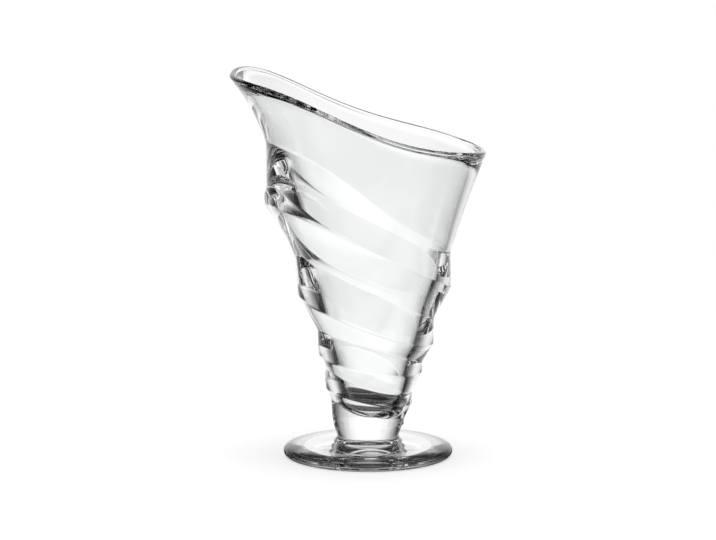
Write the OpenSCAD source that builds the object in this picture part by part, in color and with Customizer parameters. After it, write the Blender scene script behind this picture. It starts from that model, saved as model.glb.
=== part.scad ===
// Parfait glass: a stepped cone bowl with a slanting lip, on a short stem and a round foot.
// Millimetres, +Z up. The origin is the centre of the ring that the foot stands on.
// The lip is high at -X and low at +X, and -Y is the side towards a viewer.

/* [Foot] */
// Diameter of the foot
foot_d = 76; // [66:1:88]
// Thickness of the foot at its rounded edge
foot_edge_t = 4.2; // [3.4:0.2:6]
// How much the top of the foot climbs from its edge to the collar
foot_climb = 2.5; // [1.6:0.1:3]
// Height of the collar that stands on the top of the foot and carries the stem
collar_h = 2.5; // [2:0.1:5]
// Width of the round shoulder over which the top of the foot falls to its edge
shoulder_w = 12; // [8:0.5:14]
// Radius of the hollow fillet that rounds the foot into the stem
collar_fillet = 2.5; // [1.5:0.1:3.6]
// Width of the flat ring that the foot stands on
ring_w = 8; // [5:0.5:12]
// Depth of the shallow domed hollow inside the standing ring
hollow_depth = 0.35; // [0.2:0.05:1]
// Radius of the dimple in the middle of the underside
dimple_r = 11; // [7:0.5:13]
// Depth of the dimple above the shallow hollow
dimple_depth = 5; // [1.5:0.1:5.5]

/* [Stem] */
// Height of the solid stem between the foot and the bowl
stem_h = 4.6; // [3:0.2:12]
// Diameter of the stem where it leaves the foot
stem_d = 27.8; // [24:0.2:30]
// Diameter of the stem where it joins the bowl
stem_top_d = 30.8; // [28:0.2:32]

/* [Bowl] */
// Height of the bowl from the stem to the middle of its slanting lip
bowl_h = 141.1; // [125:1:160]
// Width of the lip from its high end to its low end
lip_w = 113.8; // [104:1:124]
// Depth of the lip from front to back
lip_depth = 105; // [96:1:112]
// How far the ends of the lip lie above and below its middle
lip_rise = 18.5; // [8:0.5:24]
// Thickness of the glass at the lip
lip_t = 3; // [2:0.1:3.6]
// Rounding of the steps in the outer wall
step_fillet = 0.8; // [0.4:0.1:1.6]
// Height of the bead above the top edge, under the high end of the lip
bead_h = 8; // [4:0.5:10]
// How far the wall above the bead is drawn in
bead_depth = 1.1; // [0.4:0.1:1.6]

/* [Cavity] */
// Thickness of the glass between the stem and the lowest point of the cavity
base_t = 4.5; // [3.5:0.1:8]
// Radius of the round nose at the bottom of the cavity
nose_r = 13; // [11.5:0.1:13.8]
// Mean thickness of the wall at the top crease, just under the flared lip
wall_t = 4; // [3.6:0.1:6]

/* [Hidden] */

// The tint that clear glass takes on where it is thick
glass_tint = [0.86, 0.90, 0.91, 0.55];
stem_tint = [0.80, 0.86, 0.88, 0.65];

// Columns round the bowl, points on one rounded corner, points on other curves
columns = 72;
corner_steps = 2;
run_steps = 4;
lip_steps = 6;
roll_steps = 5;
flare_steps = 9;
wall_steps = 5;
nose_steps = 6;
arc_steps = 8;

foot_r = foot_d / 2;
stem_r = stem_d / 2;
stem_top_r = stem_top_d / 2;
lip_r = lip_w / 2;
collar_z = foot_edge_t + foot_climb;
foot_h = collar_z + collar_h;
bowl_z = foot_h + stem_h;
cavity_z = bowl_z + base_t;

// Five steps from the stem up. Each has an edge, the low end of an upright band, and a crease,
// the top end of that band, where the wall turns outward again. Heights are shares of bowl_h
// above the stem, radii and shifts along X are shares of lip_r, depths are shares of the ring's
// own radius, and tilts and turns are degrees.
edge_height_shares = [0.017, 0.098, 0.204, 0.346, 0.582];
edge_radius_shares = [0.285, 0.342, 0.409, 0.534, 0.738];
edge_shift_shares = [0, 0.006, 0.018, -0.018, -0.086];
edge_depth_shares = [1, 1, 1, 1, 1.05];
edge_tilts = [6.4, 10.6, 10.4, 20.5, 26];
edge_turns = [0, -10, -18, -8, 18];
crease_height_shares = [0.054, 0.155, 0.254, 0.454, 0.731];
crease_radius_shares = [0.289, 0.348, 0.412, 0.545, 0.730];
crease_shift_shares = [-0.004, 0, 0.014, -0.025, -0.083];
crease_depth_shares = [1, 1, 1, 1.01, 1.06];
crease_tilts = [16.3, 17.6, 19, 26.2, 32.8];
crease_turns = [0, -16, 24, 8, 15];
// How far the run that climbs to each edge is drawn in at the high side, as shares of its length
sag_shares = [0, 0, 0, 0, 0.055];
// A dent bends a ring near one angle: the angle, and how far the ring drops there and is drawn in,
// as shares of bowl_h and of lip_r. It fades round the ring by a power of a cosine.
edge_dent_turns = [0, 0, 0, 0, 125];
edge_dent_shares = [[0, 0], [0, 0], [0, 0], [0, 0], [0.035, 0.035]];
crease_dent_turns = [0, 0, 0, 118, 180];
crease_dent_shares = [[0, 0], [0, 0], [0, 0], [0.05, -0.03], [0, 0.015]];
dent_power = 4;

// The bead: where it is highest, its two rings' way from the top edge to the crease above, and
// their rise and draw, as shares of bead_h and bead_depth
bead_turn = -163;
bead_power = 8;
bead_way_shares = [0.03, 0.06];
bead_rise_shares = [0.6, 1];
bead_draw_shares = [-0.15, 1];

// The lip's middle and the waves that bend the lip and the top crease out of a plane. A wave
// is a cosine and a sine share of the ring's own rise, for two, three and four times the turn.
lip_shift_share = -0.079;
lip_turn = 2.1;
lip_wave_shares = [[0.08, 0], [0.06, 0.04], [-0.04, -0.03]];
top_wave_shares = [[0, 0.03], [0.06, 0.05], [0, 0]];
flat_wave_shares = [[0, 0], [0, 0], [0, 0]];

// The outer wall below the lip starts this share as steep as its mean slope
lip_start_share = 0.69;
lip_start_swing_share = 0.14;

// Height of the flare inside the lip, as shares of bowl_h: its mean, and its swing round the lip
flare_share = 0.2575;
flare_swing_share = 0.0725;
// The share of that flare that bends gently all the way up, and the power by which the rest turns
// out just under the lip
flare_bend_share = 0.64;
flare_power = 20;
// The cavity's shift along X, as a share of lip_r
cavity_shift_share = 0.03;

// Where the foot's shoulder starts, as a share of foot_climb, and the point it is drawn towards, as
// shares of shoulder_w and foot_climb
shoulder_climb_share = 0.56;
shoulder_pull_shares = [0.29, 0.4];
// The hollow's flat middle and steeper side follow this power of the way out from the dimple
hollow_power = 4;

function mix(a, b, t) = a + (b - a) * t;
function unit(v) = v / norm(v);

// A point on a quadratic curve from a to c, pulled towards b
function bend(a, b, c, t) = mix(mix(a, b, t), mix(b, c, t), t);

// A sum of waves, in shares of a ring's rise, at angle a
function waves(shares, a) =
    shares[0][0] * cos(2 * a) + shares[0][1] * sin(2 * a)
    + shares[1][0] * cos(3 * a) + shares[1][1] * sin(3 * a)
    + shares[2][0] * cos(4 * a) + shares[2][1] * sin(4 * a);

// A point on one tilted ring of the outer wall, at angle a
function ring_point(height, radius, depth, shift, rise, turn, shares, a) = [
    shift + radius * cos(a),
    depth * sin(a),
    height - rise * cos(a - turn) + rise * waves(shares, a)
];

// The point p of a ring at angle a, lowered by drop and drawn in by draw near the angle turn
function dented(p, a, turn, drop, draw, power) =
    p - pow((1 + cos(a - turn)) / 2, power) * [draw * cos(a), draw * sin(a), drop];

function edge_point(i, a) = dented(ring_point(
    bowl_z + edge_height_shares[i] * bowl_h,
    edge_radius_shares[i] * lip_r,
    edge_radius_shares[i] * lip_r * edge_depth_shares[i],
    edge_shift_shares[i] * lip_r,
    edge_radius_shares[i] * lip_r * tan(edge_tilts[i]) * slant,
    edge_turns[i], flat_wave_shares, a),
    a, edge_dent_turns[i], edge_dent_shares[i][0] * bowl_h, edge_dent_shares[i][1] * lip_r, dent_power);

function crease_point(i, a) = dented(ring_point(
    bowl_z + crease_height_shares[i] * bowl_h,
    crease_radius_shares[i] * lip_r,
    crease_radius_shares[i] * lip_r * crease_depth_shares[i],
    crease_shift_shares[i] * lip_r,
    crease_radius_shares[i] * lip_r * tan(crease_tilts[i]) * slant,
    crease_turns[i], i == len(crease_tilts) - 1 ? top_wave_shares : flat_wave_shares, a),
    a, crease_dent_turns[i], crease_dent_shares[i][0] * bowl_h, crease_dent_shares[i][1] * lip_r,
    dent_power);

// The steps keep their tilt while the bowl is as tall for its width as it is drawn
drawn_share = 2.48;
slant = bowl_h / (lip_r * drawn_share);

// The middle of the glass's thickness at the lip, half a thickness below its top
function lip_point(inset, a) = [
    lip_shift_share * lip_r + (lip_r - inset) * cos(a),
    (lip_depth / 2 - inset) * sin(a),
    bowl_z + bowl_h - lip_t / 2 - lip_rise * (cos(a - lip_turn) - waves(lip_wave_shares, a))
];

// The corner at p, on the way from a to b, cut by a curve that starts and ends near it and takes
// at most this share of the way to either neighbour
corner_share = 0.45;
function corner(a, p, b) =
    let (
        d = min(step_fillet, min(norm(p - a), norm(b - p)) * corner_share),
        from = p + unit(a - p) * d,
        to = p + unit(b - p) * d
    )
    [for (k = [0:corner_steps]) bend(from, p, to, k / corner_steps)];

// The run from a crease up to the next edge, drawn in on its way where it has a sag share
function run_points(i, a) =
    let (
        low = crease_point(i - 1, a),
        high = edge_point(i, a),
        sag = sag_shares[i] * norm(high - low) * (1 - cos(a)) / 2
    )
    [for (k = [1:run_steps - 1])
        let (s = k / run_steps)
        mix(low, high, s) - sag * 4 * s * (1 - s) * [cos(a), sin(a), 0]];

// The bead on the top edge, which rises and fades out round the bowl
function bead_points(a) =
    let (i = len(edge_tilts) - 1)
    [for (k = [0:len(bead_way_shares) - 1])
        dented(
            mix(edge_point(i, a), crease_point(i, a), bead_way_shares[k]),
            a, bead_turn, -bead_h * bead_rise_shares[k], bead_depth * bead_draw_shares[k], bead_power)];

// The curved outer wall from the top crease to the lip
function lip_wall(a) =
    let (
        low = crease_point(len(crease_tilts) - 1, a),
        high = lip_point(0, a),
        start = lip_start_share + lip_start_swing_share * cos(a)
    )
    [for (k = [1:lip_steps])
        let (s = k / lip_steps, out = start * s + (1 - start) * s * s)
        [mix(low[0], high[0], out), mix(low[1], high[1], out), mix(low[2], high[2], s)]];

// The round top of the lip, from its outside over to its inside
function lip_roll(a) = [
    for (k = [1:roll_steps])
    let (
        turn = 180 * k / (roll_steps + 1),
        p = lip_point(lip_t / 2 * (1 - cos(turn)), a)
    )
    p + [0, 0, lip_t / 2 * sin(turn)]
];

// The cavity: an upright cone with a round nose, as wide at the top crease as its wall leaves.
// taper is the angle of the cone to the upright at which it meets the nose without a break.
nose_z = cavity_z + nose_r;
top_crease_z = bowl_z + crease_height_shares[len(crease_tilts) - 1] * bowl_h;
cavity_top_r = crease_radius_shares[len(crease_tilts) - 1] * lip_r - wall_t;
nose_to_top = [cavity_top_r, top_crease_z - nose_z];
taper = acos(nose_r / norm(nose_to_top)) - atan2(nose_to_top[1], nose_to_top[0]);
nose_end_z = nose_z - nose_r * sin(taper);
function cavity_r(z) = nose_r * cos(taper) + (z - nose_end_z) * tan(taper);
function cavity_point(r, z, a) = [cavity_shift_share * lip_r + r * cos(a), r * sin(a), z];
function wall_point(z, a) = cavity_point(cavity_r(z), z, a);

// The height at which the cone opens into the flare below the lip
function flare_z(a) = lip_point(lip_t, a)[2] - bowl_h * (flare_share + flare_swing_share * cos(a));

function flare_wall(a) =
    let (
        high = lip_point(lip_t, a),
        low_z = flare_z(a),
        flare = high - wall_point(high[2], a)
    )
    [for (k = [0:flare_steps])
        let (up = cos(90 * k / flare_steps))
        wall_point(mix(low_z, high[2], up), a)
        + flare * mix(pow(up, flare_power), pow(up, 2), flare_bend_share)];

function cone_wall(a) = [
    for (k = [1:wall_steps])
    let (s = k / wall_steps, z = mix(flare_z(a), nose_end_z, s))
    wall_point(z, a)
];

function nose_wall(a) = [
    for (k = [1:nose_steps - 1])
    let (t = mix(taper, 90, k / nose_steps))
    cavity_point(nose_r * cos(t), nose_z - nose_r * sin(t), a)
];

// The outer wall's points at angle a, each with whether it is a corner to be rounded
function outer_path(a) = [
    [[stem_top_r * cos(a), stem_top_r * sin(a), bowl_z], false],
    for (i = [0:len(edge_tilts) - 1]) each [
        each [for (p = sag_shares[i] > 0 ? run_points(i, a) : []) [p, false]],
        [edge_point(i, a), true],
        each [for (p = i == len(edge_tilts) - 1 ? bead_points(a) : []) [p, true]],
        [crease_point(i, a), true]
    ],
    for (p = lip_wall(a)) [p, false]
];

// One upright line of points at angle a, from the stem up, over the lip and down the cavity
function column(a) =
    let (path = outer_path(a))
    [
        for (i = [0:len(path) - 1])
        each (path[i][1] ? corner(path[i - 1][0], path[i][0], path[i + 1][0]) : [path[i][0]]),
        each lip_roll(a),
        each flare_wall(a),
        each cone_wall(a),
        each nose_wall(a)
    ];

// A closed skin over the columns, with one point in the middle at each end
module skin(lines, first, last) {
    n = len(lines);
    m = len(lines[0]);
    points = [each [for (l = lines) each l], first, last];
    faces = [
        for (i = [0:n - 1])
        let (a = i * m, b = ((i + 1) % n) * m)
        each [
            [n * m, a, b],
            [n * m + 1, b + m - 1, a + m - 1],
            for (j = [0:m - 2]) each [[a + j, a + j + 1, b + j + 1], [a + j, b + j + 1, b + j]]
        ]
    ];
    polyhedron(points, faces);
}

module bowl() {
    color(glass_tint)
    skin(
        [for (i = [0:columns - 1]) column(360 * i / columns)],
        [0, 0, bowl_z],
        cavity_point(0, cavity_z, 0));
}

module stem() {
    color(stem_tint)
    translate([0, 0, foot_h])
    cylinder(h = stem_h, r1 = stem_r, r2 = stem_top_r, $fn = 96);
}

// Points on an arc about c, from angle a to angle b
function arc(c, r, a, b) = [
    for (k = [0:arc_steps])
    let (t = mix(a, b, k / arc_steps))
    c + r * [cos(t), sin(t)]
];

// Right half of the foot's section
edge_r = foot_edge_t / 2;
ring_in_r = foot_r - edge_r - ring_w;
dimple_ball_r = (dimple_r * dimple_r + dimple_depth * dimple_depth) / (2 * dimple_depth);
dimple_top_z = hollow_depth + dimple_depth;
dimple_turn = asin(dimple_r / dimple_ball_r);
fillet_r = min(collar_fillet, collar_h);
shoulder = [foot_r - shoulder_w, foot_edge_t + foot_climb * shoulder_climb_share];
shoulder_pull = [
    foot_r - shoulder_w * shoulder_pull_shares[0],
    foot_edge_t + foot_climb * shoulder_pull_shares[1]
];
edge_arc = arc([foot_r - edge_r, edge_r], edge_r, -90, 60);

foot_outline = [
    [0, foot_h],
    each arc([0, dimple_top_z - dimple_ball_r], dimple_ball_r, 90, 90 - dimple_turn),
    for (k = [1:arc_steps])
        let (s = k / arc_steps)
        [mix(dimple_r, ring_in_r, s), hollow_depth * (1 - pow(s, hollow_power))],
    each edge_arc,
    for (k = [1:arc_steps]) bend(edge_arc[arc_steps], shoulder_pull, shoulder, k / arc_steps),
    each arc([stem_r + fillet_r, collar_z + fillet_r], fillet_r, -90, -180),
    [stem_r, foot_h]
];

module foot() {
    color(glass_tint)
    rotate_extrude($fn = 144)
    polygon(foot_outline);
}

bowl();
stem();
foot();
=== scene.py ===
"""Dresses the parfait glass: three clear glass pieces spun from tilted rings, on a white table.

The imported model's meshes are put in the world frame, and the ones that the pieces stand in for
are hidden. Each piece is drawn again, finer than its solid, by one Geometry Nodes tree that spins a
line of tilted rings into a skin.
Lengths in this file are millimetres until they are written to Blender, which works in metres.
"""

import logging
import math
from dataclasses import dataclass, field
from enum import Enum

import bpy
import numpy as np
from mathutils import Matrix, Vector


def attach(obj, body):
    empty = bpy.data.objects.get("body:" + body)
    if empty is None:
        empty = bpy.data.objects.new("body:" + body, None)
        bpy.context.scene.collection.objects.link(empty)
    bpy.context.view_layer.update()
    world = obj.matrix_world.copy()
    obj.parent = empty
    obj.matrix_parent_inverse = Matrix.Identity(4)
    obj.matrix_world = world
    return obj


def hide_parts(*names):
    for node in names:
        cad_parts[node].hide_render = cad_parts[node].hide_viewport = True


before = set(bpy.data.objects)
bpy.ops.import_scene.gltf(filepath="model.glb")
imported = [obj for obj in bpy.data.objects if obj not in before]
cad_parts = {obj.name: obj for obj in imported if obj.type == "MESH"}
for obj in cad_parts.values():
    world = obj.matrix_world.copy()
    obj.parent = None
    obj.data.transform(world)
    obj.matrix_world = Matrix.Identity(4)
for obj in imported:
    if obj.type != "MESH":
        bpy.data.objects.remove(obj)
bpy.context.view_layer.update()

MM = 0.001
BODY = "root"
HARMONICS = 8
LEVEL_WAVES = (0.0,) * 6
CORNER_SHARE = 0.45
TOUCH = 0.01
LOG = logging.getLogger("parfait_glass")

Point = tuple[float, float]
Stops = tuple[tuple[float, float], ...]
Value = bpy.types.NodeSocket | float


class CadNode(Enum):
    """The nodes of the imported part, for which the pieces here stand in."""

    BOWL = "bowl"
    STEM = "stem"
    FOOT = "foot"


class Ring:
    """A closed ring round the glass whose height and radius swing as it goes round.

    The terms are the shift along X, the radius, the depth, the height, then a cosine and a sine
    for each harmonic of the height, and the same again for the radius. A mix of two rings mixes
    every point of them, so curves between rings are curves between their terms.
    """

    WAVES = 2 * HARMONICS
    PLAN = slice(0, 3)
    HEIGHT = 3
    LEVELS = slice(3, 4 + WAVES)
    RISES = slice(4, 4 + WAVES)
    SWINGS = slice(4 + WAVES, 4 + 2 * WAVES)

    def __init__(self, terms: np.ndarray, joint: bool = False) -> None:
        """Takes the terms.

        Args:
            terms: The ring's terms, in millimetres, with all that are left out zero.
            joint: Whether the ring lies in a face that is fused to the next piece.
        """
        self.terms = terms
        self.joint = joint

    @classmethod
    def circle(
        cls, radius: float, height: float, shift: float = 0.0, joint: bool = False
    ) -> "Ring":
        """Makes a level, round ring.

        Args:
            radius: Its radius, in millimetres.
            height: Its height.
            shift: Shift of its middle along X.
            joint: Whether the ring lies in a face that is fused to the next piece.

        Returns:
            The ring.
        """
        terms = np.zeros(4 + 2 * cls.WAVES)
        terms[:4] = (shift, radius, radius, height)
        return cls(terms, joint)

    def mix(self, other: "Ring", share: float) -> "Ring":
        """Gives the ring that lies a share of the way to the other."""
        return Ring(self.terms + (other.terms - self.terms) * share)

    def points(self, count: int = 24) -> np.ndarray:
        """Gives points of the ring, evenly round it.

        Args:
            count: How many points.

        Returns:
            An array of count rows of X, Y and Z, in millimetres.
        """
        turn = np.arange(count) * 2 * np.pi / count
        waves = np.array([f(n * turn) for n in range(1, HARMONICS + 1) for f in (np.cos, np.sin)])
        swing = self.terms[self.SWINGS] @ waves
        shift, radius, depth = self.terms[self.PLAN]
        height = self.terms[self.HEIGHT] + self.terms[self.RISES] @ waves
        across = shift + (radius + swing) * np.cos(turn)
        return np.stack([across, (depth + swing) * np.sin(turn), height], -1)

    def dented(self, angle: float, drop: float, draw: float, power: int = 4) -> "Ring":
        """Gives the ring lowered and drawn in near an angle.

        Args:
            angle: Where the dent is deepest, in degrees from +X.
            drop: How far it is lowered there, in millimetres.
            draw: How far it is drawn in there.
            power: How narrow the dent is, up to the number of harmonics.

        Returns:
            The dented ring.
        """
        middle = math.comb(2 * power, power) / 4**power
        waves = np.zeros(self.WAVES)
        for n in range(1, power + 1):
            share = 2 * math.comb(2 * power, power - n) / 4**power
            waves[2 * n - 2] = share * math.cos(math.radians(n * angle))
            waves[2 * n - 1] = share * math.sin(math.radians(n * angle))
        terms = self.terms.copy()
        terms[self.HEIGHT] -= drop * middle
        terms[self.RISES] -= drop * waves
        terms[1:3] -= draw * middle
        terms[self.SWINGS] -= draw * waves
        return Ring(terms)

    def gap(self, other: "Ring") -> float:
        """Gives the mean distance to the other ring, point by point."""
        return float(np.linalg.norm(self.points() - other.points(), axis=1).mean())

    def rounded(self, before: "Ring", after: "Ring", fillet: float, steps: int = 6) -> list["Ring"]:
        """Rounds the ring's corner by a curve that starts and ends a fillet away from it.

        Args:
            before: The ring before it in the section.
            after: The ring after it.
            fillet: How far from the corner the curve starts and ends.
            steps: Number of steps of the curve.

        Returns:
            The rings of the curve, in order.
        """
        to_before, to_after = before.gap(self), after.gap(self)
        reach = min(fillet, CORNER_SHARE * to_before, CORNER_SHARE * to_after)
        start = self.mix(before, reach / to_before)
        end = self.mix(after, reach / to_after)
        return [start.mix(self, s).mix(self.mix(end, s), s) for s in shares(steps)]


def shares(steps: int, first: int = 0, last: int = 0) -> list[float]:
    """Gives even shares from 0 to 1.

    Args:
        steps: Number of steps from 0 to 1.
        first: How many shares are left out at the start.
        last: How many shares are left out at the end.

    Returns:
        The shares that are kept, in order.
    """
    return [k / steps for k in range(first, steps + 1 - last)]


def arc(x: float, z: float, radius: float, start: float, end: float, steps: int) -> list[Point]:
    """Gives points on an arc of a section, with its angles in degrees."""
    turns = [math.radians(start + (end - start) * s) for s in shares(steps)]
    return [(x + radius * math.cos(t), z + radius * math.sin(t)) for t in turns]


def bend(start: Point, pull: Point, end: Point, steps: int, first: int = 0) -> list[Point]:
    """Gives points on the curve of a section from start to end, drawn towards pull.

    Args:
        start: Where the curve starts.
        pull: The point that draws it.
        end: Where it ends.
        steps: Number of steps.
        first: How many points are left out at the start.

    Returns:
        The points, in order.
    """
    a, p, b = np.array(start), np.array(pull), np.array(end)
    made = []
    for s in shares(steps, first):
        q = (a * (1 - s) + p * s) * (1 - s) + (p * (1 - s) + b * s) * s
        made.append((float(q[0]), float(q[1])))
    return made


def toward(start: Point, end: Point, reach: float) -> Point:
    """Gives the point that lies a reach away from start, on the way to end."""
    share = reach / math.dist(start, end)
    return (start[0] + (end[0] - start[0]) * share, start[1] + (end[1] - start[1]) * share)


@dataclass
class Piece:
    """A piece of glass: its name in the scene, the CAD node it stands for and its resolution."""

    name: str
    stands_for: CadNode
    columns: int = 288

    @property
    def node(self) -> str:
        """The name of the CAD node that the piece replaces."""
        return self.stands_for.value

    def rings(self) -> list[Ring]:
        """Gives the rings of the piece's section, in order round it."""
        raise NotImplementedError

    def build(
        self, skin: "SpunSkin", glass: bpy.types.Material, joint: bpy.types.Material
    ) -> bpy.types.Object:
        """Makes the piece's object.

        Args:
            skin: The tree that spins rings into skins.
            glass: The material of its skin.
            joint: The material of the faces where it is fused to the next piece.

        Returns:
            The object, at the origin, with its place in its mesh.
        """
        return skin.spin(self, glass, joint)

    def dress(self, made: bpy.types.Object) -> None:
        """Ties the piece to its body and hides the CAD node that it replaces.

        Args:
            made: The piece's object.
        """
        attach(made, BODY)
        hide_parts(self.node)


@dataclass
class Foot(Piece):
    """The round foot: a rounded edge, a collar that fillets into the stem, a hollowed underside."""

    name: str = "foot_glass"
    stands_for: CadNode = CadNode.FOOT
    radius: float = 38.0
    edge_t: float = 4.2
    climb: float = 2.5
    collar_h: float = 2.5
    shoulder_w: float = 12.0
    shoulder_climb: float = 0.56
    shoulder_pull: tuple[float, float] = (0.29, 0.4)
    fillet: float = 2.5
    ring_w: float = 8.0
    ring_fillet: float = 0.5
    hollow_depth: float = 0.35
    hollow_power: int = 4
    dimple_r: float = 11.0
    dimple_depth: float = 5.0
    stem_r: float = 13.9
    edge_end: float = 60.0
    dimple_steps: int = 16
    hollow_steps: int = 16
    corner_steps: int = 5
    edge_steps: int = 20
    shoulder_steps: int = 12
    fillet_steps: int = 14

    def underside(self) -> list[Point]:
        """Gives the section from the axis, through the dimple and hollow, to the standing ring.

        Returns:
            The points of the section, from the axis out.
        """
        ring_out = self.radius - self.edge_t / 2
        ring_in = ring_out - self.ring_w
        ball = (self.dimple_r**2 + self.dimple_depth**2) / (2 * self.dimple_depth)
        turn = math.degrees(math.asin(self.dimple_r / ball))
        middle_z = self.hollow_depth + self.dimple_depth - ball
        line = arc(0.0, middle_z, ball, 90, 90 - turn, self.dimple_steps)
        line[0] = (0.0, line[0][1])
        for s in shares(self.hollow_steps, 1, 1):
            height = self.hollow_depth * (1 - s**self.hollow_power)
            line.append((self.dimple_r + (ring_in - self.dimple_r) * s, height))
        corner = (ring_in, 0.0)
        start = toward(corner, line[-1], self.ring_fillet)
        end = (ring_in + self.ring_fillet, 0.0)
        return line + bend(start, corner, end, self.corner_steps)

    def shoulder(self, start: Point) -> list[Point]:
        """Gives the section's gentle rise from the rounded edge to the collar.

        Args:
            start: Where the rounded edge ends.

        Returns:
            The points of the section, from the edge in.
        """
        reach, lift = self.shoulder_pull
        pull = (self.radius - self.shoulder_w * reach, self.edge_t + self.climb * lift)
        end = (self.radius - self.shoulder_w, self.edge_t + self.climb * self.shoulder_climb)
        return bend(start, pull, end, self.shoulder_steps, 1)

    def rings(self) -> list[Ring]:
        """Gives the foot's section, from the middle of the underside out and up to the stem.

        Returns:
            The rings of the section, in order.
        """
        edge_r = self.edge_t / 2
        collar_z = self.edge_t + self.climb
        top = collar_z + self.collar_h
        line = self.underside()
        line += arc(self.radius - edge_r, edge_r, edge_r, -90, self.edge_end, self.edge_steps)
        line += self.shoulder(line[-1])
        fillet_r, fillet_z = self.stem_r + self.fillet, collar_z + self.fillet
        line += arc(fillet_r, fillet_z, self.fillet, -90, -180, self.fillet_steps)
        made = [Ring.circle(r, z) for r, z in line if z < top - TOUCH]
        return made + [Ring.circle(self.stem_r, top, joint=True), Ring.circle(0.0, top, joint=True)]


@dataclass
class Stem(Piece):
    """The short solid stem, wider where it joins the bowl."""

    name: str = "stem_glass"
    stands_for: CadNode = CadNode.STEM
    low_r: float = 13.9
    top_r: float = 15.4
    low_z: float = 9.2
    top_z: float = 13.8
    steps: int = 4

    def rings(self) -> list[Ring]:
        """Gives the stem's section, from its lower joint face up its side to the upper one.

        Returns:
            The rings of the section, in order.
        """
        made = [Ring.circle(0.0, self.low_z, joint=True)]
        for s in shares(self.steps):
            radius = self.low_r + (self.top_r - self.low_r) * s
            height = self.low_z + (self.top_z - self.low_z) * s
            made.append(Ring.circle(radius, height, joint=s in (0.0, 1.0)))
        made.append(Ring.circle(0.0, self.top_z, joint=True))
        return made


@dataclass
class Level:
    """One tilted ring of a step of the bowl.

    The height is a share of the bowl's height, radius and shift are shares of the lip's half width,
    the depth is a share of the ring's own radius, and tilt and turn are degrees. The dent bends the
    ring near one angle: its angle, how far it drops and how far it is drawn in.
    """

    height: float
    radius: float
    shift: float
    depth: float
    tilt: float
    turn: float
    dent: tuple[float, float, float] = (0.0, 0.0, 0.0)


@dataclass
class Step:
    """One step of the bowl's outer wall: an edge below an upright band, and a crease above it."""

    edge: Level
    crease: Level
    sag: float = 0.0


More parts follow.
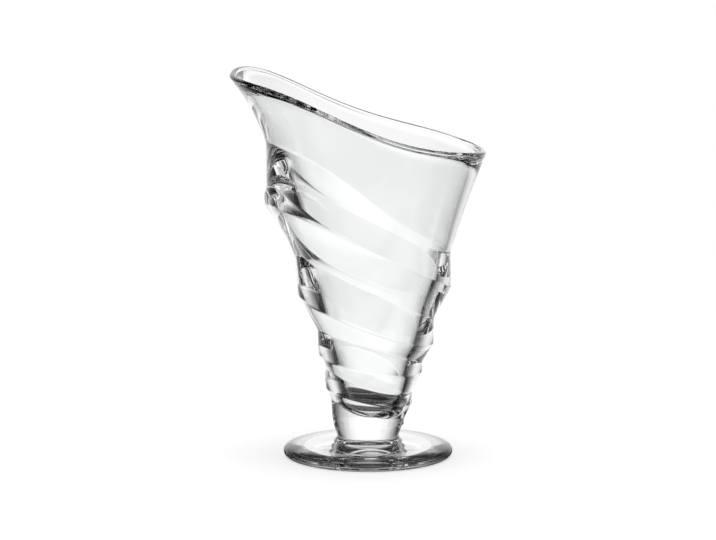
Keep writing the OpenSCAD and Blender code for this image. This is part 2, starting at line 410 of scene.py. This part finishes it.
@dataclass
class Bowl(Piece):
    """The tall bowl: five slanting steps outside, a smooth cone inside and a flared lip."""

    name: str = "bowl_glass"
    stands_for: CadNode = CadNode.BOWL
    base_z: float = 13.8
    base_r: float = 15.4
    height: float = 141.1
    lip_w: float = 113.8
    lip_depth: float = 105.0
    lip_rise: float = 18.5
    lip_t: float = 3.0
    lip_turn: float = 2.1
    lip_shift: float = -0.079
    lip_waves: tuple[float, ...] = (0.08, 0.0, 0.06, 0.04, -0.04, -0.03)
    lip_start: float = 0.69
    lip_start_swing: float = 0.14
    step_fillet: float = 0.8
    bead_angle: float = -163.0
    bead_h: float = 8.0
    bead_depth: float = 1.1
    bead_power: int = 8
    bead_fillet: float = 1.2
    bead_ways: tuple[float, float] = (0.015, 0.03)
    bead_rises: tuple[float, float] = (0.6, 1.0)
    bead_draws: tuple[float, float] = (-0.15, 1.0)
    base_t: float = 4.5
    nose_r: float = 13.0
    wall_t: float = 4.0
    cavity_shift: float = 0.03
    flare: float = 0.2575
    flare_swing: float = 0.0725
    flare_bend: float = 0.64
    flare_power: float = 20.0
    drawn: float = 2.48
    top_waves: tuple[float, ...] = (0.0, 0.03, 0.06, 0.05, 0.0, 0.0)
    run_steps: int = 6
    lip_steps: int = 16
    roll_steps: int = 14
    flare_steps: int = 28
    cone_steps: int = 16
    nose_steps: int = 14
    steps: list[Step] = field(
        default_factory=lambda: [
            Step(
                Level(0.017, 0.285, 0.0, 1.0, 6.4, 0),
                Level(0.054, 0.289, -0.004, 1.0, 16.3, 0),
            ),
            Step(
                Level(0.098, 0.342, 0.006, 1.0, 10.6, -10),
                Level(0.155, 0.348, 0.0, 1.0, 17.6, -16),
            ),
            Step(
                Level(0.204, 0.409, 0.018, 1.0, 10.4, -18),
                Level(0.254, 0.412, 0.014, 1.0, 19, 24),
            ),
            Step(
                Level(0.346, 0.534, -0.018, 1.0, 20.5, -8),
                Level(0.454, 0.545, -0.025, 1.01, 26.2, 8, (118, 0.05, -0.03)),
            ),
            Step(
                Level(0.582, 0.738, -0.086, 1.05, 26, 18, (125, 0.035, 0.035)),
                Level(0.731, 0.730, -0.083, 1.06, 32.8, 15, (180, 0.0, 0.015)),
                sag=0.055,
            ),
        ]
    )

    @property
    def lip_r(self) -> float:
        """Half the lip's width, the unit of the rings' shares."""
        return self.lip_w / 2

    def tilted(
        self, height: float, radius: float, depth: float, shift: float, rise: float, turn: float,
        waves: tuple[float, ...],
    ) -> Ring:
        """Makes a ring that is high on the -X side.

        Args:
            height: Mean height, in millimetres.
            radius: Half width along X.
            depth: Half width along Y.
            shift: Shift of its middle along X.
            rise: How far its ends lie above and below its middle.
            turn: How far its high point is turned from -X towards -Y, in degrees.
            waves: Shares of the rise that bend it out of a plane, for the harmonics from two up.

        Returns:
            The ring.
        """
        ring = Ring.circle(radius, height, shift)
        ring.terms[2] = depth
        turn = math.radians(turn)
        ring.terms[4:6] = (-rise * math.cos(turn), -rise * math.sin(turn))
        ring.terms[6:12] = [rise * w for w in waves]
        return ring

    def level_ring(self, level: Level, waves: tuple[float, ...]) -> Ring:
        """Gives the ring of one level of a step.

        Args:
            level: The level.
            waves: Shares of its rise that bend it out of a plane, for the harmonics from two up.

        Returns:
            The ring.
        """
        radius = level.radius * self.lip_r
        rise = radius * math.tan(math.radians(level.tilt)) * self.height / (self.lip_r * self.drawn)
        ring = self.tilted(
            self.base_z + level.height * self.height, radius, radius * level.depth,
            level.shift * self.lip_r, rise, level.turn, waves,
        )
        angle, drop, draw = level.dent
        return ring.dented(angle, drop * self.height, draw * self.lip_r)

    def step_rings(self, i: int) -> tuple[Ring, Ring]:
        """Gives the two rings of a step.

        Args:
            i: Which step, counted from the stem.

        Returns:
            The edge ring and the crease ring.
        """
        step = self.steps[i]
        waves = self.top_waves if step is self.steps[-1] else LEVEL_WAVES
        return self.level_ring(step.edge, LEVEL_WAVES), self.level_ring(step.crease, waves)

    def lip_ring(self, inset: float) -> Ring:
        """Gives the ring along the lip.

        Args:
            inset: How far it is drawn in from the lip's outside.

        Returns:
            The ring.
        """
        return self.tilted(
            self.base_z + self.height - self.lip_t / 2, self.lip_r - inset,
            self.lip_depth / 2 - inset, self.lip_shift * self.lip_r, self.lip_rise, self.lip_turn,
            self.lip_waves,
        )

    def run(self, low: Ring, high: Ring, sag: float) -> list[Ring]:
        """Gives the rings between a crease and the next edge.

        Args:
            low: The crease.
            high: The next edge.
            sag: How far they are drawn in at the high side, as a share of the gap.

        Returns:
            The rings between the two, in order.
        """
        made = []
        for s in shares(self.run_steps, 1, 1):
            ring = low.mix(high, s)
            pull = sag * low.gap(high) * 4 * s * (1 - s) / 2
            ring.terms[1:3] -= pull
            ring.terms[Ring.SWINGS][0] += pull
            made.append(ring)
        return made

    def bead(self, edge: Ring, crease: Ring) -> list[tuple[Ring, float]]:
        """Gives the rings of the bead that rises from the top edge where the glass is high.

        Args:
            edge: The top step's edge.
            crease: Its crease.

        Returns:
            The bead's rings, each with the rounding of its corner.
        """
        made = []
        fillets = (self.bead_fillet, self.step_fillet)
        rows = zip(self.bead_ways, self.bead_rises, self.bead_draws, fillets)
        for way, rise, draw, fillet in rows:
            drop, draw = -self.bead_h * rise, self.bead_depth * draw
            ring = edge.mix(crease, way).dented(self.bead_angle, drop, draw, self.bead_power)
            made.append((ring, fillet))
        return made

    def lip_wall(self) -> list[Ring]:
        """Gives the rings from the top crease to the lip, steeper where the lip is low.

        Returns:
            The rings, in order.
        """
        low = self.step_rings(len(self.steps) - 1)[1]
        high = self.lip_ring(0.0)
        swing = self.lip_start_swing * (high.terms[1] - low.terms[1])
        made = []
        for s in shares(self.lip_steps, 1):
            ring = low.mix(high, self.lip_start * s + (1 - self.lip_start) * s * s)
            ring.terms[Ring.LEVELS] = low.mix(high, s).terms[Ring.LEVELS]
            ring.terms[Ring.SWINGS][0] += swing * (s - s * s)
            made.append(ring)
        return made

    def outer_path(self) -> list[tuple[Ring, float]]:
        """Gives the outer wall, from the middle of the joint face up to the lip.

        Returns:
            Its rings, each with the rounding of its corner.
        """
        path: list[tuple[Ring, float]] = [
            (Ring.circle(0.0, self.base_z, joint=True), 0.0),
            (Ring.circle(self.base_r, self.base_z, joint=True), 0.0),
        ]
        for i, step in enumerate(self.steps):
            edge, crease = self.step_rings(i)
            path += [(ring, 0.0) for ring in self.run(path[-1][0], edge, step.sag)]
            path.append((edge, self.step_fillet))
            if step is self.steps[-1]:
                path += self.bead(edge, crease)
            path.append((crease, self.step_fillet))
        path += [(ring, 0.0) for ring in self.lip_wall()]
        return path

    def lip_roll(self) -> list[Ring]:
        """Gives the round top of the lip, from its outside over to its inside.

        Returns:
            The rings, in order.
        """
        made = []
        for s in shares(self.roll_steps, 1, 1):
            ring = self.lip_ring(self.lip_t / 2 * (1 - math.cos(math.pi * s)))
            ring.terms[Ring.HEIGHT] += self.lip_t / 2 * math.sin(math.pi * s)
            made.append(ring)
        return made

    def cavity(self) -> list[Ring]:
        """Gives the rings of the inside, from the lip down a smooth cone to its round nose.

        Returns:
            The rings, in order.
        """
        nose_z = self.base_z + self.base_t + self.nose_r
        crease = self.steps[-1].crease
        across = crease.radius * self.lip_r - self.wall_t
        up = self.base_z + crease.height * self.height - nose_z
        taper = math.acos(self.nose_r / math.hypot(across, up)) - math.atan2(up, across)
        nose_end = nose_z - self.nose_r * math.sin(taper)
        shift = self.cavity_shift * self.lip_r

        def on_cone(heights: np.ndarray) -> Ring:
            """Puts a ring on the cone.

            Args:
                heights: The ring's height terms.

            Returns:
                The ring.
            """
            radius = self.nose_r * math.cos(taper) + (heights[0] - nose_end) * math.tan(taper)
            return Ring(
                np.array([shift, radius, radius, *heights, *heights[1:] * math.tan(taper)])
            )

        high = self.lip_ring(self.lip_t)
        top_heights = high.terms[Ring.LEVELS]
        drop = np.zeros(1 + Ring.WAVES)
        drop[:2] = (self.flare * self.height, self.flare_swing * self.height)
        low_heights = top_heights - drop
        flare = high.terms - on_cone(top_heights).terms
        made = []
        for s in shares(self.flare_steps):
            rise = math.cos(math.pi / 2 * s)
            ring = on_cone(low_heights + (top_heights - low_heights) * rise)
            broad, sharp = rise**2, rise**self.flare_power
            ring.terms += flare * (self.flare_bend * broad + (1 - self.flare_bend) * sharp)
            made.append(ring)
        floor = np.array([nose_end] + [0.0] * Ring.WAVES)
        for s in shares(self.cone_steps, 1):
            made.append(on_cone(low_heights + (floor - low_heights) * s))
        for s in shares(self.nose_steps, 1):
            turn = taper + (math.pi / 2 - taper) * s
            radius, height = self.nose_r * math.cos(turn), nose_z - self.nose_r * math.sin(turn)
            made.append(Ring.circle(radius, height, shift))
        return made

    def rings(self) -> list[Ring]:
        """Gives the bowl's section, from the stem up the outside, over the lip and down inside.

        Returns:
            The rings of the section, in order.
        """
        path = self.outer_path()
        made = []
        for i, (ring, fillet) in enumerate(path):
            if fillet:
                made += ring.rounded(path[i - 1][0], path[i + 1][0], fillet)
            else:
                made.append(ring)
        return made + self.lip_roll() + self.cavity()


class Graph:
    """A node tree, with the calls that add to it."""

    def __init__(self, tree: bpy.types.NodeTree) -> None:
        """Takes the tree."""
        self.tree = tree

    def node(self, kind: str, **settings: object) -> bpy.types.Node:
        """Adds a node.

        Args:
            kind: The node's type.
            settings: Its properties, by name.

        Returns:
            The node.
        """
        made = self.tree.nodes.new(kind)
        for name, value in settings.items():
            setattr(made, name, value)
        return made

    def put(self, value: Value, socket: bpy.types.NodeSocket) -> None:
        """Links a socket to an input, or writes a number to it.

        Args:
            value: The socket or the number.
            socket: The input.
        """
        if isinstance(value, (int, float)):
            socket.default_value = value
        else:
            self.tree.links.new(value, socket)

    def math(self, operation: str, *values: Value) -> bpy.types.NodeSocket:
        """Adds a maths node.

        Args:
            operation: The node's operation.
            values: A socket or a number for each of its inputs.

        Returns:
            The node's output socket.
        """
        made = self.node("ShaderNodeMath", operation=operation)
        for value, socket in zip(values, made.inputs):
            self.put(value, socket)
        return made.outputs[0]

    def split(self, vector: bpy.types.NodeSocket) -> list[bpy.types.NodeSocket]:
        """Splits a vector.

        Args:
            vector: The vector's socket.

        Returns:
            The sockets of its X, Y and Z.
        """
        made = self.node("ShaderNodeSeparateXYZ")
        self.put(vector, made.inputs[0])
        return list(made.outputs)

    def mix(self, share: Value, first: Value, second: Value) -> bpy.types.NodeSocket:
        """Gives the number that lies a share of the way from one to another.

        Args:
            share: The share.
            first: The number at a share of 0.
            second: The number at a share of 1.

        Returns:
            The socket of the number.
        """
        made = self.node("ShaderNodeMix", data_type="FLOAT")
        for value, socket in zip((share, first, second), (made.inputs[0], *made.inputs[2:4])):
            self.put(value, socket)
        return made.outputs[0]

    def ramp(
        self, value: Value, unit: float, low: float, high: float, stops: Stops
    ) -> bpy.types.NodeSocket:
        """Adds a smooth ramp of greys.

        Args:
            value: The socket that the ramp reads.
            unit: What one unit of the stops is in that socket.
            low: The lowest place that the ramp holds.
            high: The highest place that it holds.
            stops: Places, from low to high, and the tone at each.

        Returns:
            The socket of the tone.
        """
        made = self.node("ShaderNodeValToRGB")
        span = high - low
        self.put(self.math("MULTIPLY_ADD", value, 1 / (unit * span), -low / span), made.inputs[0])
        ramp = made.color_ramp
        ramp.interpolation = "EASE"
        ramp.elements.remove(ramp.elements[1])
        for i, (place, tone) in enumerate(stops):
            position = (place - low) / span
            stop = ramp.elements[0] if i == 0 else ramp.elements.new(position)
            stop.position = position
            stop.color = (tone, tone, tone, 1.0)
        return made.outputs["Color"]


class SpunSkin(Graph):
    """The Geometry Nodes tree that spins a line of rings into a skin round the Z axis."""

    MERGE = 0.001
    COLUMNS = 96
    SHARP_ANGLE = 50.0
    JOINT_SHARE = 0.6
    JOINT = "joint"

    def __init__(self) -> None:
        """Builds the tree once, for all pieces."""
        super().__init__(bpy.data.node_groups.new("spun_skin", "GeometryNodeTree"))
        for name, way, kind, default in (
            ("Section", "INPUT", "Geometry", None),
            ("Columns", "INPUT", "Int", self.COLUMNS),
            ("Glass", "INPUT", "Material", None),
            ("Joint", "INPUT", "Material", None),
            ("Sharp Angle", "INPUT", "Float", math.radians(self.SHARP_ANGLE)),
            ("Skin", "OUTPUT", "Geometry", None),
        ):
            socket_type = f"NodeSocket{kind}"
            socket = self.tree.interface.new_socket(name, in_out=way, socket_type=socket_type)
            if default is not None:
                socket.default_value = default
        self.into = self.node("NodeGroupInput")
        self.build()

    def named(self, name: str, kind: str) -> bpy.types.NodeSocket:
        """Reads a named attribute.

        Args:
            name: The attribute's name.
            kind: Its data type.

        Returns:
            The socket of its value.
        """
        made = self.node("GeometryNodeInputNamedAttribute", data_type=kind)
        made.inputs["Name"].default_value = name
        return made.outputs["Attribute"]

    def sample(self, name: str, row: Value, kind: str = "FLOAT") -> bpy.types.NodeSocket:
        """Reads a ring's attribute in the section.

        Args:
            name: The attribute's name.
            row: The ring's row.
            kind: The attribute's data type.

        Returns:
            The socket of its value.
        """
        read = self.node("GeometryNodeSampleIndex", data_type=kind, domain="POINT")
        self.put(self.into.outputs["Section"], read.inputs["Geometry"])
        self.put(self.named(name, kind), read.inputs["Value"])
        self.put(row, read.inputs["Index"])
        return read.outputs["Value"]

    def chain(self, kind: str, geometry: Value, **settings: object) -> bpy.types.Node:
        """Adds a node that takes a geometry, and links that.

        Args:
            kind: The node's type.
            geometry: The socket of the geometry.
            settings: The node's properties, by name.

        Returns:
            The node.
        """
        made = self.node(kind, **settings)
        self.put(geometry, made.inputs["Geometry"])
        return made

    def build(self) -> None:
        """Builds the tree: a grid of columns and rows, each point put on its ring."""
        columns = self.into.outputs["Columns"]
        size = self.chain(
            "GeometryNodeAttributeDomainSize", self.into.outputs["Section"], component="MESH"
        )
        rows = size.outputs["Point Count"]
        grid = self.node("GeometryNodeMeshGrid")
        self.put(self.math("ADD", columns, 1.0), grid.inputs["Vertices X"])
        self.put(rows, grid.inputs["Vertices Y"])

        index = self.node("GeometryNodeInputIndex").outputs[0]
        column = self.math("FLOOR", self.math("DIVIDE", self.math("ADD", index, 0.5), rows))
        row = self.math("SUBTRACT", index, self.math("MULTIPLY", column, rows))
        turn = self.math("MULTIPLY", self.math("DIVIDE", column, columns), 2 * math.pi)

        put = self.chain("GeometryNodeSetPosition", grid.outputs["Mesh"])
        self.put(self.place(row, turn), put.inputs["Position"])
        mark = self.chain(
            "GeometryNodeStoreNamedAttribute", put.outputs[0], data_type="FLOAT", domain="POINT"
        )
        mark.inputs["Name"].default_value = self.JOINT
        self.put(self.sample(self.JOINT, row), mark.inputs["Value"])
        merge = self.chain("GeometryNodeMergeByDistance", mark.outputs[0])
        merge.inputs["Distance"].default_value = self.MERGE * MM
        out = self.node("NodeGroupOutput")
        self.put(self.dressed(merge.outputs[0]), out.inputs["Skin"])

    def place(self, row: Value, turn: Value) -> bpy.types.NodeSocket:
        """Gives the place of a point.

        Args:
            row: The row of its ring in the section.
            turn: How far round its ring it lies, in radians from +X.

        Returns:
            The socket of its place.
        """
        shift, radius, depth = self.split(self.sample("plan", row, "FLOAT_VECTOR"))
        height = self.sample("height", row)
        swing = 0.0
        for n in range(1, HARMONICS + 1):
            angle = self.math("MULTIPLY", turn, float(n))
            rises = self.split(self.sample(f"rise_{n}", row, "FLOAT_VECTOR"))
            swings = self.split(self.sample(f"swing_{n}", row, "FLOAT_VECTOR"))
            for function, rise_term, swing_term in zip(("COSINE", "SINE"), rises, swings):
                wave = self.math(function, angle)
                height = self.math("MULTIPLY_ADD", wave, rise_term, height)
                swing = self.math("MULTIPLY_ADD", wave, swing_term, swing)
        across = self.math("MULTIPLY", self.math("ADD", radius, swing), self.math("COSINE", turn))
        along = self.math("MULTIPLY", self.math("ADD", depth, swing), self.math("SINE", turn))
        place = self.node("ShaderNodeCombineXYZ")
        for value, socket in zip((self.math("ADD", shift, across), along, height), place.inputs):
            self.put(value, socket)
        return place.outputs[0]

    def dressed(self, skin: Value) -> bpy.types.NodeSocket:
        """Shades the skin smooth up to the sharp angle and gives its faces their materials.

        Args:
            skin: The socket of the bare skin.

        Returns:
            The socket of the dressed one.
        """
        smooth = self.chain("GeometryNodeSetShadeSmooth", skin, domain="FACE")
        crisp = self.chain("GeometryNodeSetShadeSmooth", smooth.outputs[0], domain="EDGE")
        crisp.inputs["Shade Smooth"].default_value = False
        angle = self.node("GeometryNodeInputMeshEdgeAngle").outputs["Unsigned Angle"]
        sharp = self.math("GREATER_THAN", angle, self.into.outputs["Sharp Angle"])
        self.put(sharp, crisp.inputs["Selection"])
        real = self.chain("GeometryNodeRealizeInstances", crisp.outputs[0])
        dress = self.chain("GeometryNodeSetMaterial", real.outputs[0])
        self.put(self.into.outputs["Glass"], dress.inputs["Material"])
        fuse = self.chain("GeometryNodeSetMaterial", dress.outputs[0])
        joint = self.math("GREATER_THAN", self.named(self.JOINT, "FLOAT"), self.JOINT_SHARE)
        self.put(joint, fuse.inputs["Selection"])
        self.put(self.into.outputs["Joint"], fuse.inputs["Material"])
        return fuse.outputs[0]

    def section(self, piece: Piece) -> bpy.types.Object:
        """Makes the line of points that holds a piece's rings as attributes.

        Args:
            piece: The piece.

        Returns:
            The line's object, which the modifier goes on.
        """
        rings = piece.rings()
        mesh = bpy.data.meshes.new(f"{piece.name}_section")
        spots = [((r.terms[0] + r.terms[1]) * MM, 0.0, r.terms[Ring.HEIGHT] * MM) for r in rings]
        mesh.from_pydata(spots, [(i, i + 1) for i in range(len(spots) - 1)], [])
        terms = np.array([r.terms for r in rings]) * MM
        values = {
            "plan": terms[:, Ring.PLAN],
            "height": terms[:, Ring.HEIGHT],
            self.JOINT: np.array([float(r.joint) for r in rings]),
        }
        zero = np.zeros((len(rings), 1))
        for name, part in (("rise", Ring.RISES), ("swing", Ring.SWINGS)):
            for n in range(HARMONICS):
                pair = terms[:, part][:, 2 * n : 2 * n + 2]
                values[f"{name}_{n + 1}"] = np.hstack([pair, zero])
        for name, array in values.items():
            kind, key = ("FLOAT_VECTOR", "vector") if array.ndim == 2 else ("FLOAT", "value")
            made = mesh.attributes.new(name, kind, "POINT")
            made.data.foreach_set(key, np.ascontiguousarray(array, "f").ravel())
        line = bpy.data.objects.new(f"{piece.name}_section", mesh)
        bpy.context.scene.collection.objects.link(line)
        return line

    def spin(
        self, piece: Piece, glass: bpy.types.Material, joint: bpy.types.Material
    ) -> bpy.types.Object:
        """Spins a piece's rings into a plain mesh.

        Args:
            piece: The piece to make.
            glass: The material of its skin.
            joint: The material of the faces where it is fused to the next piece.

        Returns:
            The piece's object, at the origin, with its place in its mesh.
        """
        line = self.section(piece)
        modifier = line.modifiers.new("spin", "NODES")
        modifier.node_group = self.tree
        values = {"Columns": piece.columns, "Glass": glass, "Joint": joint}
        for item in self.tree.interface.items_tree:
            if item.in_out == "INPUT" and item.name in values:
                modifier[item.identifier] = values[item.name]
        depsgraph = bpy.context.evaluated_depsgraph_get()
        mesh = bpy.data.meshes.new_from_object(line.evaluated_get(depsgraph), depsgraph=depsgraph)
        mesh.name = piece.name
        bpy.data.objects.remove(line)
        made = bpy.data.objects.new(piece.name, mesh)
        bpy.context.scene.collection.objects.link(made)
        return made


@dataclass(frozen=True)
class ClearGlass:
    """Colourless pressed glass with a fire-polished, faintly rippled skin."""

    name: str = "clear_glass"
    colour: tuple[float, float, float] = (0.985, 0.99, 0.99)
    roughness: float = 0.0
    ior: float = 1.5
    ripple_size: float = 14.0
    ripple_height: float = 0.02

    def make(self) -> bpy.types.Material:
        """Builds the material.

        Returns:
            The material.
        """
        glass = bpy.data.materials.new(self.name)
        glass.use_nodes = True
        graph = Graph(glass.node_tree)
        shader = glass.node_tree.nodes["Principled BSDF"]
        shader.inputs["Base Color"].default_value = (*self.colour, 1.0)
        shader.inputs["Roughness"].default_value = self.roughness
        shader.inputs["IOR"].default_value = self.ior
        shader.inputs["Transmission Weight"].default_value = 1.0
        noise = graph.node("ShaderNodeTexNoise")
        noise.inputs["Scale"].default_value = 1 / (self.ripple_size * MM)
        noise.inputs["Detail"].default_value = 1.0
        bump = graph.node("ShaderNodeBump")
        bump.inputs["Strength"].default_value = 1.0
        bump.inputs["Distance"].default_value = self.ripple_height * MM
        graph.put(graph.node("ShaderNodeTexCoord").outputs["Object"], noise.inputs["Vector"])
        graph.put(noise.outputs["Fac"], bump.inputs["Height"])
        graph.put(bump.outputs["Normal"], shader.inputs["Normal"])
        return glass


@dataclass(frozen=True)
class FusedJoint:
    """The faces where two pieces of glass melted into one: light passes them without a bend."""

    name: str = "fused_joint"

    def make(self) -> bpy.types.Material:
        """Builds the material.

        Returns:
            The material.
        """
        joint = bpy.data.materials.new(self.name)
        joint.use_nodes = True
        graph = Graph(joint.node_tree)
        nodes = joint.node_tree.nodes
        nodes.remove(nodes["Principled BSDF"])
        clear = graph.node("ShaderNodeBsdfTransparent")
        graph.put(clear.outputs[0], nodes["Material Output"].inputs["Surface"])
        return joint


@dataclass(frozen=True)
class Table:
    """The round white table top, which shows as white and keeps the glass's shadow.

    Rays that come through or off the glass pass it, so that the glass shows the light below the
    horizon. A round contact shadow about the foot darkens them on the way.
    """

    radius: float = 420.0
    corners: int = 96
    colour: float = 0.8
    glow: float = 0.6
    shade_w: float = 100.0
    shade: Stops = ((0, 0.7), (31, 0.7), (36.5, 0.08), (50, 0.12), (75, 1.0))

    def white(self) -> bpy.types.Material:
        """Builds the table's material.

        Returns:
            The material.
        """
        white = bpy.data.materials.new("table_white")
        white.use_nodes = True
        graph = Graph(white.node_tree)
        nodes = white.node_tree.nodes
        nodes.remove(nodes["Principled BSDF"])
        paper = graph.node("ShaderNodeBsdfDiffuse")
        paper.inputs["Color"].default_value = (self.colour, self.colour, self.colour, 1.0)
        glow = graph.node("ShaderNodeEmission")
        glow.inputs["Strength"].default_value = self.glow
        both = graph.node("ShaderNodeAddShader")
        graph.put(paper.outputs[0], both.inputs[0])
        graph.put(glow.outputs[0], both.inputs[1])

        # Painted contact shadow: a grey ramp by distance from the middle tints the rays that pass
        # the table, darkest near the foot's edge and dimmer under the foot.
        away = graph.node("ShaderNodeVectorMath", operation="LENGTH")
        graph.put(graph.node("ShaderNodeTexCoord").outputs["Object"], away.inputs[0])
        tone = graph.ramp(away.outputs["Value"], MM, 0.0, self.shade_w, self.shade)
        clear = graph.node("ShaderNodeBsdfTransparent")
        graph.put(tone, clear.inputs["Color"])

        path = graph.node("ShaderNodeLightPath").outputs
        by_glass = graph.math("MAXIMUM", path["Is Glossy Ray"], path["Is Transmission Ray"])
        top = graph.node("ShaderNodeMixShader")
        for value, socket in zip((by_glass, both.outputs[0], clear.outputs[0]), top.inputs):
            graph.put(value, socket)
        graph.put(top.outputs[0], nodes["Material Output"].inputs["Surface"])
        return white

    def build(self) -> None:
        """Makes the table."""
        mesh = bpy.data.meshes.new("table")
        turns = [2 * math.pi * k / self.corners for k in range(self.corners)]
        r = self.radius * MM
        rim = [(r * math.cos(t), r * math.sin(t), 0.0) for t in turns]
        mesh.from_pydata(rim, [], [list(range(self.corners))])
        table = bpy.data.objects.new("table", mesh)
        bpy.context.scene.collection.objects.link(table)
        mesh.materials.append(self.white())


@dataclass(frozen=True)
class Sky:
    """The light that comes from all round, by direction, and the white behind.

    The stops are degrees and levels. The sides go round from +Y, behind the glass, to -Y, and the
    heights from straight down to straight up. The panels are the light at both sides of the table.
    """

    sides: Stops = (
        (8, 1.0), (20, 0.85), (28, 0.66), (38, 0.38), (46, 0.2), (54, 0.05), (62, 0.02),
        (96, 0.02), (108, 0.5), (120, 0.9),
    )
    heights: Stops = (
        (-90, 0.9), (-68, 0.85), (-57, 0.02), (-50, 0.02), (-43, 0.08), (-36, 0.6), (-28, 1.1),
        (-20, 1.15), (-12, 0.98), (-6, 1.02), (0, 1.2), (12, 1.15), (22, 0.9), (29, 0.2),
        (40, 0.04),
    )
    panel_sides: Stops = ((76, 0.0), (82, 0.9), (98, 0.9), (104, 0.0))
    panel_heights: Stops = ((-34, 0.0), (-27, 1.0), (-4, 1.0), (2, 0.0))
    mirror_share: float = 0.12
    plain: float = 0.35
    behind: float = 1.0

    def build(self) -> None:
        """Builds the world: white to the camera, graded to the glass and plain to the rest."""
        world = bpy.data.worlds.new("studio")
        world.use_nodes = True
        bpy.context.scene.world = world
        graph = Graph(world.node_tree)
        background = world.node_tree.nodes["Background"]
        background.inputs["Color"].default_value = (1.0, 1.0, 1.0, 1.0)

        x, y, z = graph.split(graph.node("ShaderNodeTexCoord").outputs["Generated"])
        side = graph.math("ARCTAN2", graph.math("ABSOLUTE", x), y)
        up = graph.math("ARCSINE", z)
        degree = math.pi / 180
        round_it = [graph.ramp(side, degree, 0, 180, s) for s in (self.sides, self.panel_sides)]
        over_it = [graph.ramp(up, degree, -90, 90, s) for s in (self.heights, self.panel_heights)]
        wall, panel = [graph.math("MULTIPLY", *pair) for pair in zip(round_it, over_it)]

        path = graph.node("ShaderNodeLightPath").outputs
        through = path["Is Transmission Ray"]
        rear = graph.math("GREATER_THAN", y, 0.0)
        mirrored = graph.math("MULTIPLY_ADD", rear, 1 - self.mirror_share, self.mirror_share)
        seen = graph.math("MAXIMUM", wall, panel)
        seen = graph.math("MULTIPLY", seen, graph.math("MAXIMUM", through, mirrored))
        by_glass = graph.math("MAXIMUM", through, path["Is Glossy Ray"])
        level = graph.mix(by_glass, self.plain, seen)
        level = graph.mix(path["Is Camera Ray"], level, self.behind)
        graph.put(level, background.inputs["Strength"])


@dataclass(frozen=True)
class Lamp:
    """One soft lamp over the table, which the glass doesn't show."""

    side: float = 800.0
    height: float = 1600.0
    power: float = 9.0

    def build(self) -> None:
        """Hangs the lamp."""
        data = bpy.data.lights.new("soft_lamp", "AREA")
        data.shape = "RECTANGLE"
        data.size, data.size_y = self.side * MM, self.side * MM
        data.energy = self.power
        lamp = bpy.data.objects.new("soft_lamp", data)
        lamp.visible_glossy = False
        lamp.visible_transmission = False
        lamp.location = (0.0, 0.0, self.height * MM)
        bpy.context.scene.collection.objects.link(lamp)


@dataclass(frozen=True)
class Camera:
    """The camera, at the photograph's viewing angle."""

    at: tuple[float, float, float] = (0.0, -1350.0, 301.76)
    aim: tuple[float, float, float] = (-4.516, 0.0, 84.157)
    lens: float = 153.75
    sensor: float = 36.0
    reach: float = 50000.0

    def build(self) -> None:
        """Puts the camera in its place."""
        data = bpy.data.cameras.new("camera")
        data.lens = self.lens
        data.sensor_width = self.sensor
        data.sensor_fit = "HORIZONTAL"
        data.clip_end = self.reach * MM
        made = bpy.data.objects.new("camera", data)
        bpy.context.scene.collection.objects.link(made)
        at, aim = Vector(self.at) * MM, Vector(self.aim) * MM
        made.location = at
        made.rotation_euler = (aim - at).to_track_quat("-Z", "Y").to_euler()
        bpy.context.scene.camera = made


@dataclass(frozen=True)
class Studio:
    """The studio, with enough bounces for light to cross the thick steps and the fused joints."""

    all_bounces: int = 24
    glass_bounces: int = 16
    joint_bounces: int = 32

    def build(self) -> None:
        """Makes the table, the sky, the lamp and the camera."""
        cycles = bpy.context.scene.cycles
        cycles.max_bounces = self.all_bounces
        cycles.glossy_bounces = self.glass_bounces
        cycles.transmission_bounces = self.glass_bounces
        cycles.transparent_max_bounces = self.joint_bounces
        for part in (Table(), Sky(), Lamp(), Camera()):
            part.build()
        LOG.info("studio: table, sky, lamp and camera")


def main() -> None:
    """Builds the glass piece by piece, then the studio."""
    logging.basicConfig(level=logging.INFO, format="%(name)s: %(message)s")
    bpy.context.scene.view_settings.view_transform = "Standard"
    glass = ClearGlass().make()
    joint = FusedJoint().make()
    skin = SpunSkin()
    for piece in (Bowl(), Stem(), Foot()):
        made = piece.build(skin, glass, joint)
        piece.dress(made)
        LOG.info("%s: %d faces", piece.name, len(made.data.polygons))
    Studio().build()


if __name__ == "__main__":
    main()
